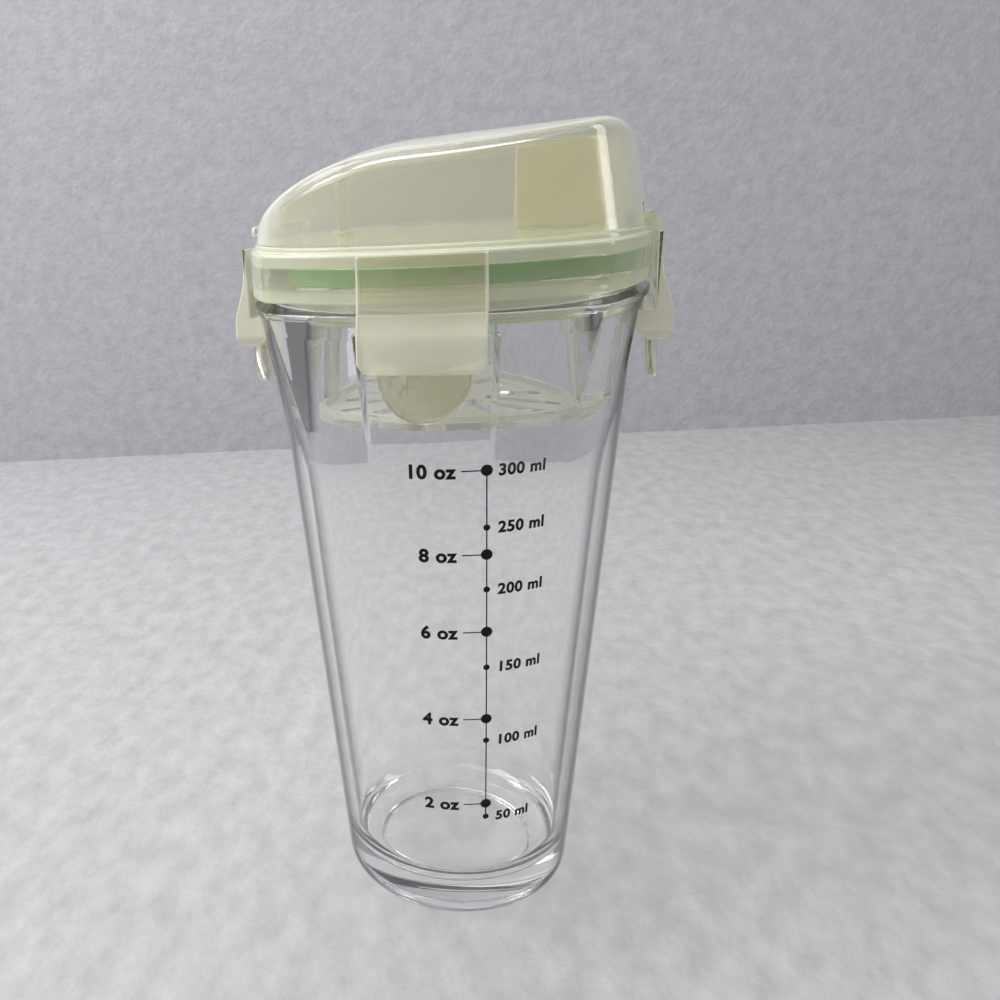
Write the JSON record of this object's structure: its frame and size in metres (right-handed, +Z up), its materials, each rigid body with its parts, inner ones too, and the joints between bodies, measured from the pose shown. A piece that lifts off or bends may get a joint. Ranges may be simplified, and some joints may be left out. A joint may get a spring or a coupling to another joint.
{
  "type": "salad dressing shaker bottle",
  "caption": "Tapered glass tumbler with a printed measuring scale, a snap lid with side clips and seal, a wedge flip cover over pour and vent openings, and a mixing insert.",
  "frame": {"origin": "middle of the glass base, on the surface that the tumbler stands on", "axes": "+Z up along the tumbler, -Y towards the front clip, -X towards the low end of the flip cover"},
  "size_m": [0.0928, 0.0928, 0.18],
  "materials": {
    "clear_glass": "clear pressed glass",
    "lid_plastic": "aged translucent polypropylene",
    "cover_plastic": "aged translucent polypropylene, thin wall",
    "clip_plastic": "aged translucent polypropylene",
    "insert_plastic": "aged translucent polypropylene",
    "stopper_plastic": "yellowed soft plastic",
    "seal_green": "green silicone",
    "pin_plastic": "aged plastic rod"
  },
  "bodies": {
    "vessel": {"glass_tumbler": "clear_glass", "seal_ring": "seal_green", "lid_base": "lid_plastic", "hinge_pin": "pin_plastic", "mixing_insert": "insert_plastic"},
    "front_latch": {"front_clip": "clip_plastic"},
    "right_latch": {"right_clip": "clip_plastic"},
    "back_latch": {"back_clip": "clip_plastic"},
    "left_latch": {"left_clip": "clip_plastic"},
    "cover": {"flip_cover": "cover_plastic", "vent_plug": "stopper_plastic", "pour_stopper": "stopper_plastic"}
  },
  "joints": [
    {"name": "front_clip_hinge", "type": "hinge", "parent": "vessel", "child": "front_latch", "pos_m": [0, -0.0431, 0.1571], "axis": [-1, 0, 0], "range_deg": [0, 90]},
    {"name": "right_clip_hinge", "type": "hinge", "parent": "vessel", "child": "right_latch", "pos_m": [0.0431, 0, 0.1571], "axis": [0, -1, 0], "range_deg": [0, 90]},
    {"name": "back_clip_hinge", "type": "hinge", "parent": "vessel", "child": "back_latch", "pos_m": [0, 0.0431, 0.1571], "axis": [1, 0, 0], "range_deg": [0, 90]},
    {"name": "left_clip_hinge", "type": "hinge", "parent": "vessel", "child": "left_latch", "pos_m": [-0.0431, 0, 0.1571], "axis": [0, 1, 0], "range_deg": [0, 90]},
    {"name": "cover_hinge", "type": "hinge", "parent": "vessel", "child": "cover", "pos_m": [0.0409, 0, 0.1603], "axis": [0, 1, 0], "range_deg": [0, 95]}
  ]
}
